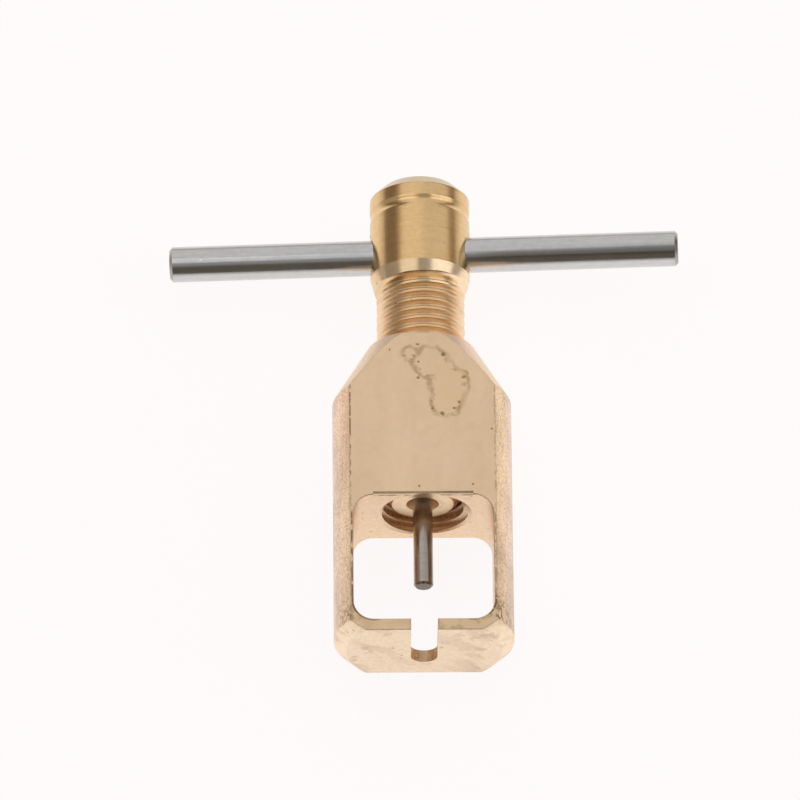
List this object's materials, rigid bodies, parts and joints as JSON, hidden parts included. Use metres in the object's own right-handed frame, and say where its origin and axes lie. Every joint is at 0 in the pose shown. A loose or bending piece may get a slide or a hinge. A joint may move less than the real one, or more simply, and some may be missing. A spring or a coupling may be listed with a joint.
{
  "type": "pinion puller",
  "caption": "Small brass screw press: a windowed body with a U-slotted jaw, and a feed screw with a T-bar that drives a push pin to press a shaft out of a pinion.",
  "frame": {"origin": "on the feed screw's axis, in the outer face of the jaw, where the motor shaft's axis crosses it", "axes": "+Y along the screw's axis from the jaw to the head, +X to the right along the T-bar, +Z the normal of the front flat that the U-slot opens through, upward when the tool lies on its back flat"},
  "size_m": [0.0516, 0.051, 0.0104],
  "materials": {
    "body_brass": "satin, lightly tarnished raw brass",
    "screw_brass": "bright turned brass",
    "bar_steel": "smooth ground steel",
    "pin_steel": "polished hardened steel"
  },
  "bodies": {
    "frame": {"puller_body": "body_brass"},
    "pin": {"push_pin": "pin_steel"},
    "screw": {"feed_screw": "screw_brass", "t_bar": "bar_steel"}
  },
  "joints": [
    {"name": "feed", "type": "slide", "parent": "frame", "child": "pin", "axis": [0, -1, 0], "range_m": [-0.01, 0.006]},
    {"name": "turn", "type": "hinge", "parent": "pin", "child": "screw", "pos_m": [0, 0, 0], "axis": [0, -1, 0], "range_deg": [-3600, 2160]}
  ],
  "couplings": [
    {"joint": "feed", "follows": "turn", "m_per_rad": 0.00015915}
  ]
}
